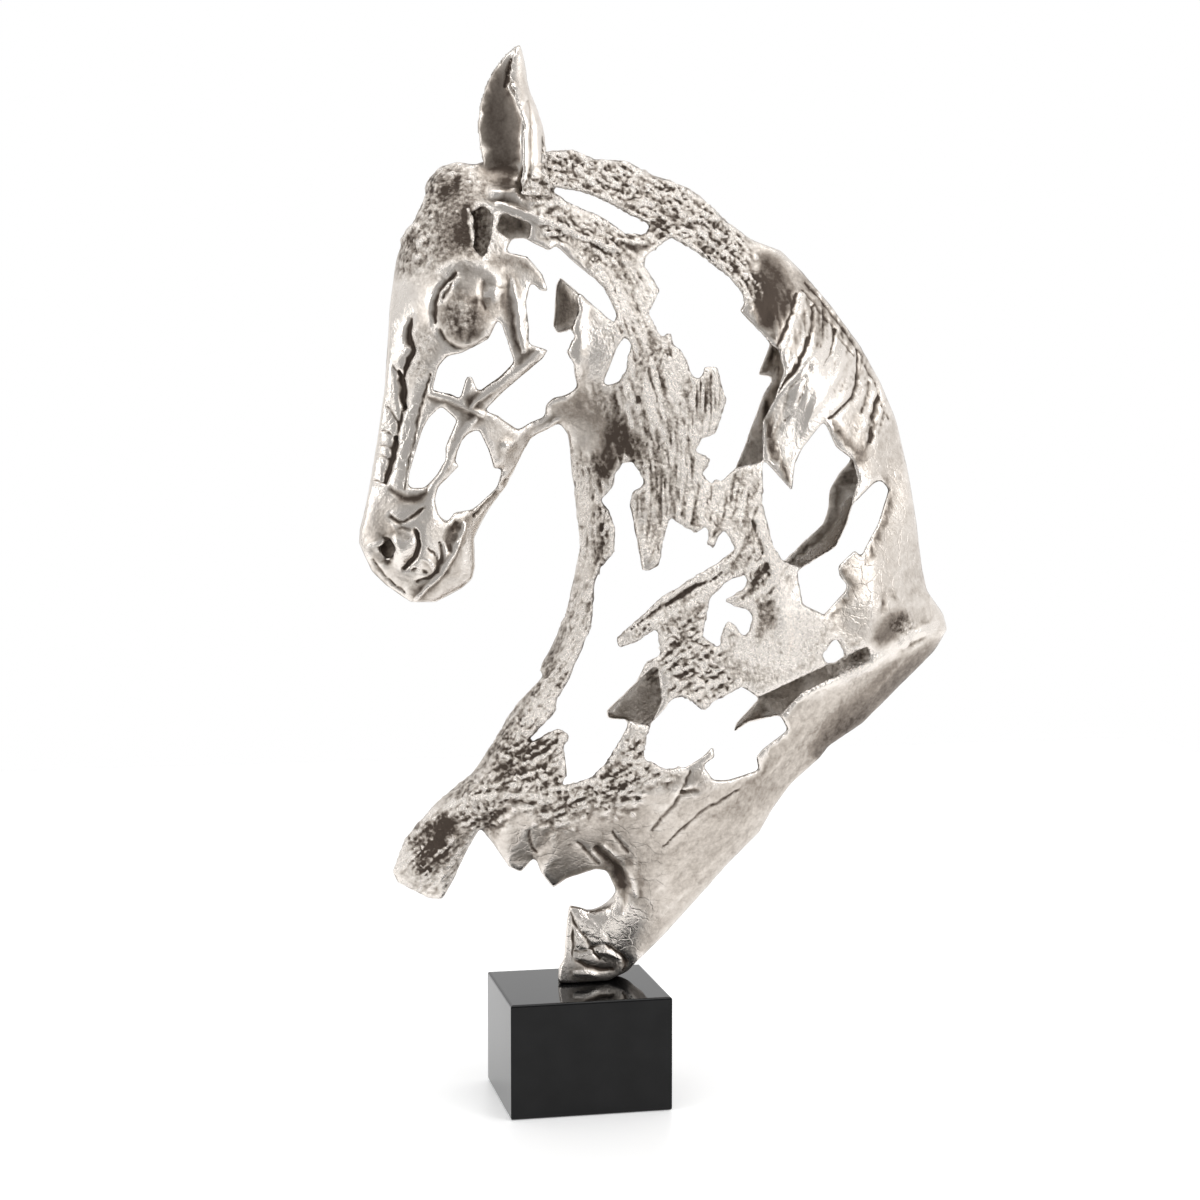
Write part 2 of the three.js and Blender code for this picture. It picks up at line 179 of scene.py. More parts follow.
def blurred(grid, radius):
    reach = int(math.ceil(KERNEL_REACH * radius))
    steps = np.arange(-reach, reach + 1)
    kernel = np.exp(-((steps / radius) ** 2) / 2)
    padded = np.pad(grid, reach)
    rows = sum(k * padded[:, i : i + grid.shape[1]] for i, k in enumerate(kernel))
    return sum(k * rows[i : i + grid.shape[0]] for i, k in enumerate(kernel))


def read_map(grid, squares, cell):
    """The value of a map over the squares at each point, mixed from its four nearest cells."""
    spot = np.clip(squares / cell - 0.5, 0, grid.shape[0] - 1.001)
    across, down = spot.astype(int).T
    x, y = spot.T - (across, down)
    left = grid[across, down] * (1 - y) + grid[across, down + 1] * y
    right = grid[across + 1, down] * (1 - y) + grid[across + 1, down + 1] * y
    return left * (1 - x) + right * x


def average_map(squares, values, radius):
    """The blurred average of the values that fall in each cell, and where there are any."""
    cells = np.floor(squares / CELL).astype(int)
    size = int(SQUARES / CELL)
    total = np.zeros((size, size))
    count = np.zeros((size, size))
    np.add.at(total, (cells[:, 0], cells[:, 1]), values)
    np.add.at(count, (cells[:, 0], cells[:, 1]), 1.0)
    mean = np.where(count > 0, total / np.maximum(count, 1), 0)
    spread = blurred((count > 0).astype(float), radius / CELL)
    return blurred(mean, radius / CELL) / np.maximum(spread, 1e-6), spread > FAINTEST


def depth_moves(places, normals, side):
    """How far each place moves along the line of sight, from the wall on that side."""
    squares = squares_of(places)
    facing = side * normals[:, 1]
    depth = side * (places[:, 1] - MIDDLE_PLANE)
    outside = (facing > FACING_OUT) & (depth > OFF_MIDDLE)
    near, known = average_map(squares[outside], places[outside, 1], CELL)
    wide, _ = average_map(squares[outside], places[outside, 1], FACET_BLUR)
    open_face, _ = average_map(squares[outside], facing[outside], FACET_BLUR)
    ease = np.clip((open_face - OPEN_FACE) / OPEN_RANGE, 0, 1)
    moves = read_map(np.where(known, (wide - near) * ease, 0), squares, CELL)
    return moves * np.clip(depth / WHOLE_MOVE, 0, 1)


def ear_share(squares):
    middle, half, start, end = EAR_ROOT
    near_ear = np.abs(squares[:, 0] - middle) < half
    return np.where(near_ear, np.clip((end - squares[:, 1]) / (end - start), 0, 1), 0)


def round_facets(mesh):
    places = places_of(mesh)
    normals = normals_of(mesh)
    sight = places - np.array(STANDING_PLACE)
    sight /= sight[:, 1:2]
    rest = 1 - ear_share(squares_of(places))
    for side in (-1, 1):
        moves = rest * depth_moves(places, normals, side)
        places += sight * moves[:, None]
        print("side", side, "moved up to", round(1000 * np.abs(moves).max(), 1), "mm")
    put_places(mesh, places)


round_facets(casting.data)

# %% [markdown]
# ## Where the skin is crusty, streaked, crumbled or cracked
# The real skin changes from place to place. The crest and the poll are crusted like bark, the middle
# of the neck is streaked, the chest is crumbled, and the skirt is smooth with a net of fine cracks.
# Each of these is a soft patch made of round spots, stored on the mesh as a share from 0 to 1.

# %% Patches
PATCHES = {
    "crust": """
        562,172,34 612,188,32 664,208,32 708,236,30 600,240,20 560,222,16 636,214,24 725,262,20
        748,286,14
    """,
    "fine_crust": """
        445,196,34 425,240,30 470,232,26 410,262,14 750,650,34 800,640,28 848,660,18 760,600,26
        460,318,15 903,626,9 422,342,12 417,370,9
    """,
    "locks": "815,320,34 800,380,30 850,380,30 800,430,26 870,420,20",
    "streaks": """
        660,380,50 680,440,50 650,480,36 700,520,34 590,620,36 560,690,34 690,600,34 760,555,36
        640,330,34 590,540,24 520,740,36 430,850,36 715,400,26 660,540,20 620,280,26 585,480,22
        740,500,30 660,640,30
    """,
    "crumble": """
        530,770,30 480,800,26 560,795,26 610,780,26 650,755,26 700,690,30 530,745,22 560,745,14
        690,655,26 612,565,12 600,520,12
    """,
    "cracks": """
        640,860,60 720,840,60 800,740,44 895,560,44 885,450,40 400,440,36 870,600,36 600,930,36
        540,840,30 780,480,30
    """,
}
PATCH_END = 1.7  # radii from a spot's middle to where it ends; it starts to fade one radius earlier
PLAIN_SKIN = 0.12  # how rugged the skin is between the patches
OUT_SLOPE, OUT_END = 2, 0.2  # how fast the outside ends where the skin turns


def patch_shares(squares, spots):
    shares = np.zeros(len(squares))
    for across, down, radius in spots_in(spots):
        distance = np.hypot(squares[:, 0] - across, squares[:, 1] - down)
        shares = np.maximum(shares, np.clip(PATCH_END - distance / radius, 0, 1))
    return shares


def store_share(mesh, name, shares):
    attribute = mesh.attributes.get(name) or mesh.attributes.new(name, "FLOAT", "POINT")
    attribute.data.foreach_set("value", shares.astype(np.float32))


def outward_share(mesh):
    """1 on the outside of either wall, 0 on its inside and on the torn edges."""
    depth = places_of(mesh)[:, 1] - MIDDLE_PLANE
    return np.clip(np.sign(depth) * normals_of(mesh)[:, 1] * OUT_SLOPE - OUT_END, 0, 1)


def store_patches(mesh):
    squares = squares_of(places_of(mesh))
    rest = 1 - ear_share(squares)
    rugged = np.full(len(squares), PLAIN_SKIN)
    for name, spots in PATCHES.items():
        shares = patch_shares(squares, spots) * rest
        store_share(mesh, name, shares)
        rugged = np.maximum(rugged, shares * (name not in ("cracks", "locks")))
        print(name, "covers", round(100 * shares.mean()), "percent")
    store_share(mesh, "rugged", rugged * rest)
    store_share(mesh, "outward", outward_share(mesh))


store_patches(casting.data)

# %% [markdown]
# ## Silvered metal with tarnish
# The casting is plated nickel-silver in colour, rubbed bright on the high places and left brown-grey
# in the hollows. A metallic Principled BSDF does this: the stored depth turns into a share of
# tarnish, which darkens the colour and roughens the polish. The material comes before the grain,
# because the node trees below end by giving it to what they made.

# %% Helper for node trees


class Tree:
    """A node tree with short ways to add and join nodes."""

    def __init__(self, tree):
        self.tree = tree

    def add(self, kind, settings=None, **inputs):
        node = self.tree.nodes.new(kind)
        for name, value in (settings or {}).items():
            setattr(node, name, value)
        for name, value in inputs.items():
            self.put(node, name.replace("_", " "), value)
        return node

    def put(self, node, name, value):
        """Give a value to a socket, found by name or number, or join it to a socket or a node."""
        socket = node.inputs[name]
        if isinstance(value, bpy.types.Node):
            value = value.outputs[0]
        if isinstance(value, bpy.types.NodeSocket):
            self.tree.links.new(value, socket)
        else:
            socket.default_value = value
        return node

    def maths(self, operation, *values, clamp=False):
        node = self.add("ShaderNodeMath", {"operation": operation, "use_clamp": clamp})
        for index, value in enumerate(values):
            self.put(node, index, value)
        return node.outputs[0]

    def vector_maths(self, operation, *values):
        node = self.add("ShaderNodeVectorMath", {"operation": operation})
        for index, value in enumerate(values):
            self.put(node, index, value)
        return node.outputs["Value" if operation == "DOT_PRODUCT" else "Vector"]

    def scaled(self, vector, scale):
        node = self.add("ShaderNodeVectorMath", {"operation": "SCALE"}, Vector=vector, Scale=scale)
        return node.outputs["Vector"]

    def total(self, *values):
        return functools.reduce(lambda found, value: self.maths("ADD", found, value), values)

    def times(self, *values):
        return functools.reduce(lambda found, value: self.maths("MULTIPLY", found, value), values)

    def fitted(self, value, scale, shift):
        return self.maths("MULTIPLY_ADD", value, scale, shift)

    def noise(self, place, scale, detail, roughness=0.5):
        settings = {"Vector": place, "Scale": scale, "Detail": detail, "Roughness": roughness}
        return self.add("ShaderNodeTexNoise", **settings)

    def cells(self, place, scale, feature="F1"):
        node = self.add("ShaderNodeTexVoronoi", {"feature": feature}, Vector=place, Scale=scale)
        return node.outputs["Distance"]


def new_material(name):
    material = bpy.data.materials.new(name)
    material.use_nodes = True
    material.node_tree.nodes.clear()
    t = Tree(material.node_tree)
    shader = t.add("ShaderNodeBsdfPrincipled")
    t.add("ShaderNodeOutputMaterial", Surface=shader)
    return material, t, shader


def ramp(t, share, stops):
    node = t.add("ShaderNodeValToRGB", Fac=share)
    elements = node.color_ramp.elements
    while len(elements) < len(stops):
        elements.new(0.5)
    for element, (position, color) in zip(elements, stops):
        element.position = position
        element.color = (*color, 1)
    return node.outputs["Color"]


# %% Cast metal
METAL_TONES = [
    (0.08, (0.84, 0.785, 0.73)),
    (0.35, (0.60, 0.545, 0.49)),
    (0.60, (0.31, 0.268, 0.23)),
    (0.90, (0.09, 0.070, 0.057)),
]
FLAT_SKIN = 0.31  # tarnish where the skin is level
HOLLOW_SKIN = 1100.0  # more for each metre that a place lies below its neighbours
INSIDE_SHADE = 0.12  # painted shade, more inside the casting and on its torn edges
SPECKS = (420.0, 3.0, 1.0)  # cells in a metre, detail and amount of a noise
MOTTLE = (120.0, 3.0, 0.4)
CLOUDS = (38.0, 6.0, 0.32)
STREAK_SHINE = 0.13
FLECK_START, FLECK_SHINE = 0.7, 0.4  # the proudest streaks
FLAKE_SHINE = 0.13
BRIGHT_ROUGHNESS, TARNISH_ROUGHNESS = 0.26, 0.30  # of bright metal, and what full tarnish adds
RUGGED_SPECKS = (1.1, 0.25)  # how much more there is on a rugged skin, and how much everywhere
RUGGED_MOTTLE = (0.8, 0.2)
RUGGED_GRIT = (0.9, 0.1)
GRIT = (480.0, 4.0, 0.7)  # cells in a metre, detail and roughness of a noise
BENDS, BEND = (90.0, 3.0), 0.012  # what bends the cracks: cells in a metre and detail, and by how much
CRACKS_PER_METRE, CRACK_WIDTH, CRACK_RELIEF = 85.0, 0.05, 0.14
SHARDS_PER_METRE, SHARD_RELIEF = 330.0, 0.9


def cast_metal():
    material, t, shader = new_material("silvered cast metal")
    place = t.add("ShaderNodeTexCoord").outputs["Object"]

    def stored(name):
        return t.add("ShaderNodeAttribute", {"attribute_name": name}).outputs["Fac"]

    def noise(scale, detail, amount):
        return t.fitted(t.noise(place, scale, detail, 0.62), amount, -amount / 2)

    rugged = stored("rugged")
    depth = t.fitted(stored("hollow"), HOLLOW_SKIN, FLAT_SKIN)
    speck = t.times(noise(*SPECKS), t.fitted(rugged, *RUGGED_SPECKS))
    # painted shade on the inside faces and on the torn edges
    inner_shade = t.fitted(stored("outward"), -INSIDE_SHADE, INSIDE_SHADE)
    fleck = t.times(t.maths("SUBTRACT", stored("flow"), FLECK_START, clamp=True), -FLECK_SHINE)
    streak = t.times(t.fitted(stored("flow"), -STREAK_SHINE, fleck), stored("streaks"))
    clumps = t.maths("MAXIMUM", stored("crust"), stored("crumble"))
    flakes = t.times(stored("flake"), t.times(clumps, -FLAKE_SHINE))
    mottle = t.times(noise(*MOTTLE), t.fitted(rugged, *RUGGED_MOTTLE))
    # the share of tarnish also carries the stored painted shade and painted highlights
    tarnish_and_painted_light = t.total(depth, noise(*CLOUDS), mottle, speck, inner_shade, stored("painted_light_and_tarnish"), streak, flakes)
    tarnish_and_painted_light = t.maths("ADD", tarnish_and_painted_light, 0.0, clamp=True)
    t.put(shader, "Base Color", ramp(t, tarnish_and_painted_light, METAL_TONES))
    shader.inputs["Metallic"].default_value = 1.0
    t.put(shader, "Roughness", t.fitted(tarnish_and_painted_light, TARNISH_ROUGHNESS, BRIGHT_ROUGHNESS))
    gritty = t.times(t.noise(place, *GRIT), t.fitted(rugged, *RUGGED_GRIT))
    wavy = t.vector_maths("ADD", place, t.scaled(t.noise(place, *BENDS).outputs["Color"], BEND))
    edges = t.cells(wavy, CRACKS_PER_METRE, "DISTANCE_TO_EDGE")
    gap = t.maths("SUBTRACT", 1.0, t.maths("DIVIDE", edges, CRACK_WIDTH, clamp=True))
    line = t.times(gap, stored("cracks"))
    sharp = t.times(t.cells(wavy, SHARDS_PER_METRE), t.times(rugged, SHARD_RELIEF))
    relief = t.total(sharp, t.maths("SUBTRACT", gritty, t.times(line, CRACK_RELIEF)))
    bump = t.add("ShaderNodeBump", Strength=0.8, Distance=0.0014, Height=relief)
    t.put(shader, "Normal", bump)
    return material


silvered = cast_metal()

# %% [markdown]
# ## Tools for trees and strokes
# Three trees and several sets of strokes share these few tools. A stroke is half a width in squares,
# a height, and one or more lines, each a text of squares. It thins out at its ends and wanders a
# little, so that none looks drawn with a ruler.

# %% Tools for trees


def named_inputs(tree, sizes):
    """The tree's inputs, as {name: socket identifier}, with a geometry first."""
    tree.interface.new_socket("Geometry", in_out="INPUT", socket_type="NodeSocketGeometry")
    tree.interface.new_socket("Geometry", in_out="OUTPUT", socket_type="NodeSocketGeometry")
    found = {}
    for name, value in sizes.items():
        socket = tree.interface.new_socket(name, in_out="INPUT", socket_type="NodeSocketFloat")
        socket.default_value = value
        found[name] = socket.identifier
    return found


def start_tree(name, sizes):
    """A new tree with the sizes as its inputs: the group, its sockets, the helper and its entry."""
    group = bpy.data.node_groups.new(name, "GeometryNodeTree")
    sockets = named_inputs(group, sizes)
    t = Tree(group)
    return group, sockets, t, t.add("NodeGroupInput").outputs


def named_share(t, name):
    return t.add("GeometryNodeInputNamedAttribute", {"data_type": "FLOAT"}, Name=name).outputs["Attribute"]


def end_tree(t, geometry, material):
    """Every tree ends in real faces that have their material."""
    real = t.add("GeometryNodeRealizeInstances", Geometry=geometry)
    dressed = t.add("GeometryNodeSetMaterial", Geometry=real, Material=material)
    t.add("NodeGroupOutput", Geometry=dressed)


def grow(piece, group, sockets, sizes):
    modifier = piece.modifiers.new(group.name, "NODES")
    modifier.node_group = group
    for name, value in sizes.items():
        modifier[sockets[name]] = value
    mesh = plain_mesh_of(piece)
    print(group.name, "made", len(mesh.vertices), "points")
    return mesh


# %% Tools for strokes
LONG_WAVE, SHORT_WAVE = 0.7, 0.4  # squares
THIN_END = 0.45  # a stroke's width at its ends, as a share of its width in the middle


def wandering(squares):
    """The squares with a small wave in them."""
    across, down = squares.T
    wave = LONG_WAVE * np.sin(down / 7.3 + across / 9.1) + SHORT_WAVE * np.sin(down / 2.3 - across / 3.7)
    lift = LONG_WAVE * np.sin(across / 7.1 - down / 8.3) + SHORT_WAVE * np.sin(across / 2.9 + down / 3.1)
    return np.stack([across + wave, down + lift], axis=1)


def curved(line):
    """The line with its corners cut off twice, which makes it a curve."""
    for _ in range(2):
        early = 0.75 * line[:-1] + 0.25 * line[1:]
        late = 0.25 * line[:-1] + 0.75 * line[1:]
        cut = np.stack([early, late], axis=1).reshape(-1, 2)
        line = np.concatenate([line[:1], cut, line[-1:]])
    return line


def from_line(squares, line):
    """How far each square is from the line, and what share of the line lies before that place."""
    lengths = np.hypot(*(line[1:] - line[:-1]).T)
    before = np.concatenate([[0], np.cumsum(lengths)])
    nearest = np.full(len(squares), 1e9)
    passed = np.zeros(len(squares))
    for start, end, length, way in zip(line[:-1], line[1:], lengths, before):
        along = end - start
        away = squares - start
        share = np.clip(away @ along / length**2, 0, 1)
        gap = away - share[:, None] * along
        distance = np.hypot(gap[:, 0], gap[:, 1])
        closer = distance < nearest
        nearest = np.where(closer, distance, nearest)
        passed = np.where(closer, (way + share * length) / before[-1], passed)
    return nearest, passed


def stroke_sum(squares, strokes, edge):
    """The sum of all strokes at each square. A higher edge gives each stroke a steeper side."""
    found = np.zeros(len(squares))
    wandered = wandering(squares)
    for width, height, *lines in strokes.values():
        for line in map(spots_in, lines):
            margin = 3 * width + 4
            close = ((squares > line.min(0) - margin) & (squares < line.max(0) + margin)).all(axis=1)
            distance, passed = from_line(wandered[close], curved(line))
            taper = THIN_END + (1 - THIN_END) * np.sqrt(np.sin(math.pi * np.clip(passed, 0.01, 0.99)))
            found[close] += height * np.exp(-((distance / (width * taper)) ** edge))
    return found


# %% [markdown]
# ## Easing the turn of the back, the nose and the throat
# Along the outline the skin turns from one side to the other, and there the facets still show as
# steps. A small Geometry Nodes tree eases them. Round after round it averages the depth of each point
# with its neighbours, along the line of sight, so that the outline stays where it is. Some rounds in
# all directions then take off the corners. A stored share keeps the torn edges as they are.

# %% The turn of the outline
TURNS = {
    "back": (
        34, 1, "545,150 640,170 720,215 800,265 860,340 900,430 925,560 945,625 900,690 820,770 "
        "740,850 660,940",
    ),
    "nose": (24, 1, "440,175 400,240 392,300 380,400 362,500 365,560 410,600"),
    "throat": (20, 1, "576,430 586,500 584,580 556,680 506,750 430,820 400,870"),
    "ankle": (22, 1, "592,932 626,916"),
}
EASE = {"Depth rounds": 240.0, "Corner rounds": 44.0, "Ankle rounds": 150.0}
ANKLE = "626,920,17 622,936,13 606,934,9"  # the foot runs into the skirt here
SOUND_SPOTS = "618,922,26 588,938,22"  # steps at the foot that aren't torn edges
EDGE_BLUR = 6.0  # squares
EDGE_FALL = 1.6  # how fast a torn edge ends where the skin turns to the near or the far side
NEAR_GAIN = 6  # how fast a place near a torn edge counts in full
TURN_GUARD = 5.0  # squares, the blur of the torn edges that aren't eased
OPEN_START, OPEN_GROWTH = 0.45, 0.25  # an edge counts as torn where the skin beside it faces out so far


def torn_share(mesh):
    """1 on the edges of the openings, 0 on the faces and on the casting's own outline."""
    squares = squares_of(places_of(mesh))
    facing = np.abs(normals_of(mesh)[:, 1])
    outside = outward_share(mesh) > 0.5
    open_face, _ = average_map(squares[outside], facing[outside], EDGE_BLUR)
    open_share = np.clip((read_map(open_face, squares, CELL) - OPEN_START) / OPEN_GROWTH, 0, 1)
    sound = patch_shares(squares, SOUND_SPOTS)
    return np.clip(1 - EDGE_FALL * facing, 0, 1) * open_share * (1 - sound)


def near_torn_share(mesh, radius):
    """1 near the edges of the openings, fading over that many squares."""
    squares = squares_of(places_of(mesh))
    torn, _ = average_map(squares, torn_share(mesh), radius)
    return np.clip(NEAR_GAIN * read_map(torn, squares, CELL), 0, 1)


def store_turns(mesh):
    squares = squares_of(places_of(mesh))
    whole = 1 - near_torn_share(mesh, TURN_GUARD)
    turns = np.clip(stroke_sum(squares, TURNS, 4), 0, 1) * whole * (1 - ear_share(squares))
    store_share(mesh, "turns", turns)
    store_share(mesh, "ankle", patch_shares(squares, ANKLE))
    print("turns cover", round(100 * turns.mean()), "percent")


def ease_tree():
    group, sockets, t, enter = start_tree("eased turns", EASE)
    place = t.add("GeometryNodeInputPosition")
    sight = t.vector_maths("SUBTRACT", place, tuple(STANDING_PLACE))
    depth = t.add("ShaderNodeSeparateXYZ", Vector=sight).outputs["Y"]

    def averaged(kind, value, rounds, where):
        count = t.add("FunctionNodeFloatToInt", Float=enter[rounds])
        node = t.add("GeometryNodeBlurAttribute", {"data_type": kind}, Value=value, Iterations=count)
        return t.put(node, "Weight", named_share(t, where))

    average = averaged("FLOAT", depth, "Depth rounds", "turns")
    offset = t.scaled(sight, t.maths("DIVIDE", t.maths("SUBTRACT", average, depth), depth))
    eased = t.add("GeometryNodeSetPosition", Geometry=enter["Geometry"], Offset=offset)
    for rounds, where in (("Corner rounds", "turns"), ("Ankle rounds", "ankle")):
        spot = averaged("FLOAT_VECTOR", place, rounds, where)
        eased = t.add("GeometryNodeSetPosition", Geometry=eased, Position=spot)
    end_tree(t, eased, silvered)
    return group, sockets


store_turns(casting.data)
grow(casting, *ease_tree(), EASE)

# %% [markdown]
# ## Clods on the crust
# The crest, the poll and the chest are built up from clods of metal, each a few millimetres across
# and half sunk in the skin. They follow the surface, so a Geometry Nodes tree scatters them: points
# on the faces, as dense as the patches say, and one small lump on each, turned and sized by chance.
# A second voxel remesh then melts them into the skin.

# %% Clods as a tree
CLODS = {"Clods per square metre": 30000.0, "Smallest": 0.0005, "Largest": 0.0023, "Seed": 3.0}


def clod_tree():
    group, sockets, t, enter = start_tree("clods", CLODS)
    seed = t.add("FunctionNodeFloatToInt", Float=enter["Seed"])
    thick = t.maths("MAXIMUM", named_share(t, "crust"), named_share(t, "crumble"))
    where = t.times(thick, named_share(t, "outward"))
    density = t.times(where, enter["Clods per square metre"])
    scatter = "GeometryNodeDistributePointsOnFaces"
    points = t.add(scatter, Mesh=enter["Geometry"], Density=density, Seed=seed)
    lump = t.add("GeometryNodeMeshIcoSphere", Radius=1.0, Subdivisions=1)
    sizes = t.add("FunctionNodeRandomValue", {"data_type": "FLOAT_VECTOR"}, Seed=seed)
    for corner, name in ((0, "Smallest"), (1, "Largest")):
        size = enter[name]
        t.put(sizes, corner, t.add("ShaderNodeCombineXYZ", X=size, Y=size, Z=size))
    turns = t.add("FunctionNodeRandomValue", {"data_type": "FLOAT_VECTOR"}, Max=(6.3, 6.3, 6.3), Seed=seed)
    lumps = "GeometryNodeInstanceOnPoints"
    placed = t.add(lumps, Points=points, Instance=lump, Rotation=turns, Scale=sizes)
    joined = t.add("GeometryNodeJoinGeometry")
    t.put(joined, "Geometry", placed)
    t.put(joined, "Geometry", enter["Geometry"])
    end_tree(t, joined, silvered)
    return group, sockets


grow(casting, *clod_tree(), CLODS)
lay_net(casting, VOXEL)
store_patches(casting.data)

# %% [markdown]
# ## Carving by strokes
# The sculptor pressed ridges and cut furrows into the wax. Each one is a stroke here, with its height
# in millimetres, which is below zero for a furrow.

# %% Strokes on the head and the neck
STROKES = {
    "brow ridge": (8, 2.0, "440,270 462,261 485,266 500,284"),
    "eyelid crease": (3, -2.4, "455,273 441,285 434,304 434,322"),
    "eye slit": (2.6, -2.4, "452,283 447,291 443,299"),
    "upper eyelid": (3.2, 1.4, "458,279 448,289 440,303"),
    "cheekbone": (19, 2.2, "460,306 467,328"),
    "cheekbone rim": (3, -1.4, "439,330 450,347 470,350 488,338"),
    "cheekbone flutes": (3, -0.4, "462,292 457,316 462,338", "476,298 475,322 468,342"),
    "tear bump": (9, 2.2, "493,290 495,296"),
    "tear bump crease": (3, -0.8, "483,282 481,296 486,308"),
    "bridge slit": (3.2, -3.4, "411,319 406,340 413,349 407,361 404,374"),
    "middle bridge slit": (3.4, -3.4, "398,371 403,384 401,401 404,410"),
    "thin bridge slit": (1.9, -2.0, "404,406 400,424 395,440"),
    "lower bridge slit": (3.6, -3.4, "396,438 391,458 385,482"),
    "strip edge": (2.0, -1.3, "430,374 421,405 413,442 404,488"),
    "cross cracks": (
        1.5, -1.1, "392,366 400,375 404,380", "385,405 392,413 398,421", "382,431 390,433 396,438",
        "377,446 383,444 390,449",
    ),
    "low cross crack": (1.5, -1.2, "375,455 382,455 388,458"),
    "lowest cross crack": (1.6, -1.2, "368,480 378,481 388,485"),
    "dent under the slits": (4.5, -1.4, "391,490 404,499 419,498 429,488"),
    "nose crescent": (2.2, -1.7, "390,515 396,521 404,522 412,518 424,507"),
    "nostril dome": (15, 3.0, "398,543 402,552"),
    "nostril hole": (7, -1.9, "382,549 388,562"),
    "nostril ring": (2.0, 0.8, "368,546 379,543 388,547 394,554"),
    "nostril arch": (2.4, -1.5, "384,538 393,544 398,553"),
    "dome edge": (1.8, -1.0, "398,526 410,529 418,537"),
    "nostril crescent": (2.2, -2.8, "414,529 420,539 419,551 412,562 404,570"),
    "first lip line": (1.5, -1.2, "427,548 434,554 438,562"),
    "second lip line": (2.6, -1.8, "440,543 443,554 439,568 430,578 417,582"),
    "bright lip line": (2.0, 1.2, "423,558 433,564 435,571 429,577"),
    "lip pits": (2.4, -1.4, "411,571 415,569", "423,571 427,573"),
    "muzzle rim line": (1.4, -1.0, "372,560 384,574 396,586 404,592"),
    "lip ridge": (2.4, 2.0, "465,523 456,546 451,562 430,586 416,599"),
    "chin groove": (5, -1.8, "457,524 448,538 450,550"),
    "jaw crease": (2.2, -1.4, "506,479 488,503 474,515"),
    "upper forelock tuft": (9, 2.6, "436,188 452,176"),
    "middle forelock tuft": (8, 2.4, "408,234 420,227"),
    "lower forelock tuft": (8, 2.0, "402,263 418,257"),
    "upright bar ridge": (4.5, 2.2, "513,282 519,320 523,350"),
    "slanting bar ridge": (4.0, 1.8, "540,352 506,380 472,404"),
    "strut ridge": (4.5, 1.8, "430,393 456,401 482,414"),
    "lower strut ridge": (4.0, 1.6, "476,418 455,442 446,468 430,490"),
    "jaw ridge": (5.0, 1.8, "556,420 530,440 512,470 500,490"),
    "hook strap ridge": (4.0, 1.8, "668,222 645,243 616,241"),
    "shoulder column ridge": (7.0, 2.0, "757,520 772,560 784,610 786,650"),
    "column groove": (2.0, -1.2, "752,520 762,545 768,575"),
    "feather groove": (2.2, -1.6, "722,574 690,590 655,610 630,630"),
    "ear rim": (2.4, 1.0, "506,83 522,106 523,154 519,177"),
    "ear back streak": (1.8, -0.7, "529,100 532,140 529,178"),
    "ear tip slit": (2.2, -1.6, "512,60 508,73 505,86"),
    "poll ridge": (3, 1.8, "497,204 522,212 550,223 579,236 620,250"),
    "cave rim": (2.6, 1.6, "468,210 474,242 488,258"),
    "leaf ridge": (2.6, 1.6, "576,284 571,308 565,334"),
    "leaf crest": (9, 2.4, "577,300 579,340 576,376"),
    "crest groove": (2.2, -0.8, "690,236 706,246 726,260"),
    "deep mane furrow": (3.0, -2.6, "808,337 803,356 795,370 787,381 778,391"),
    "white lock": (6, 1.5, "802,296 795,322 786,348 779,364"),
    "lock edge": (2.0, -1.4, "797,294 788,322 776,352 770,368"),
    "lock shade furrow": (2.0, -1.0, "812,306 813,322 810,336"),
    "first mane crease": (1.6, -1.4, "835,328 834,345 829,357 824,366"),
    "front mane creases": (1.4, -0.9, "815,360 808,372 798,381 789,390", "807,378 801,398 793,411 785,420"),
    "fourth mane crease": (1.9, -1.8, "857,350 859,376 856,391 848,404 829,418"),
    "fifth mane crease": (3.2, -1.2, "869,383 867,398 863,412"),
    "sixth mane crease": (3.4, -2.2, "878,398 875,417 870,441"),
    "broad locks": (5, 0.7, "826,330 818,352 806,376 795,396", "843,350 837,376 824,396 812,412"),
    "outer nape line": (1.4, -0.8, "806,282 826,306 846,332 862,356"),
    "inner nape line": (1.3, -0.7, "802,290 820,312 840,338 854,358"),
    "low nape line": (1.4, -0.7, "866,366 878,392 888,420"),
    "notch fold": (6, -2.2, "596,850 612,864 622,884 621,912"),
    "notch ridge": (4, 1.2, "604,846 622,862 634,880 636,896"),
    "shoulder rim": (6, 1.8, "792,698 820,686 855,671 884,656"),
    "first rim blob": (5, 1.6, "900,644 908,640"),
    "second rim blob": (4.5, 1.6, "918,632 926,626"),
    "skirt cracks at the notch": (1.8, -1.0, "612,831 624,847 628,853", "578,842 593,858 600,864"),
    "front skirt crack": (1.8, -0.9, "529,830 530,846 536,852"),
    "middle skirt crack": (1.8, -0.9, "690,770 680,800 652,830"),
    "back skirt crack": (1.6, -0.8, "740,790 700,812 664,846"),
}
FOOT_STROKES = {
    "foot fold": (1.7, -1.5, "569,912 577,927 584,938 593,950 600,959"),
    "foot inner fold": (1.7, -1.4, "573,930 573,944 571,956"),
    "foot cross fold": (1.5, -1.2, "574,951 584,951 592,949 600,946 608,945"),
    "foot gap": (2.2, -2.0, "607,945 613,949 618,953 627,961"),
    "foot outer edge": (1.4, -0.8, "586,912 598,923 606,934 612,944"),
    "foot facet line": (1.4, -0.5, "583,935 590,938 597,939"),
    "foot low fold": (2.0, -1.3, "576,960 588,965 600,969 612,970"),
    "foot back fold": (1.8, -1.1, "622,960 626,964 624,972"),
    "foot low ridge": (3, 1.6, "601,952 610,954 618,957"),
    "foot bulge": (8, 1.0, "592,924 602,937"),
    "foot sole ridge": (3, 1.5, "575,974 594,974"),
}
FAR_SHARE = 0.7  # of a stroke's height on the far side
FAR_FOOT_SHARE = 0.2


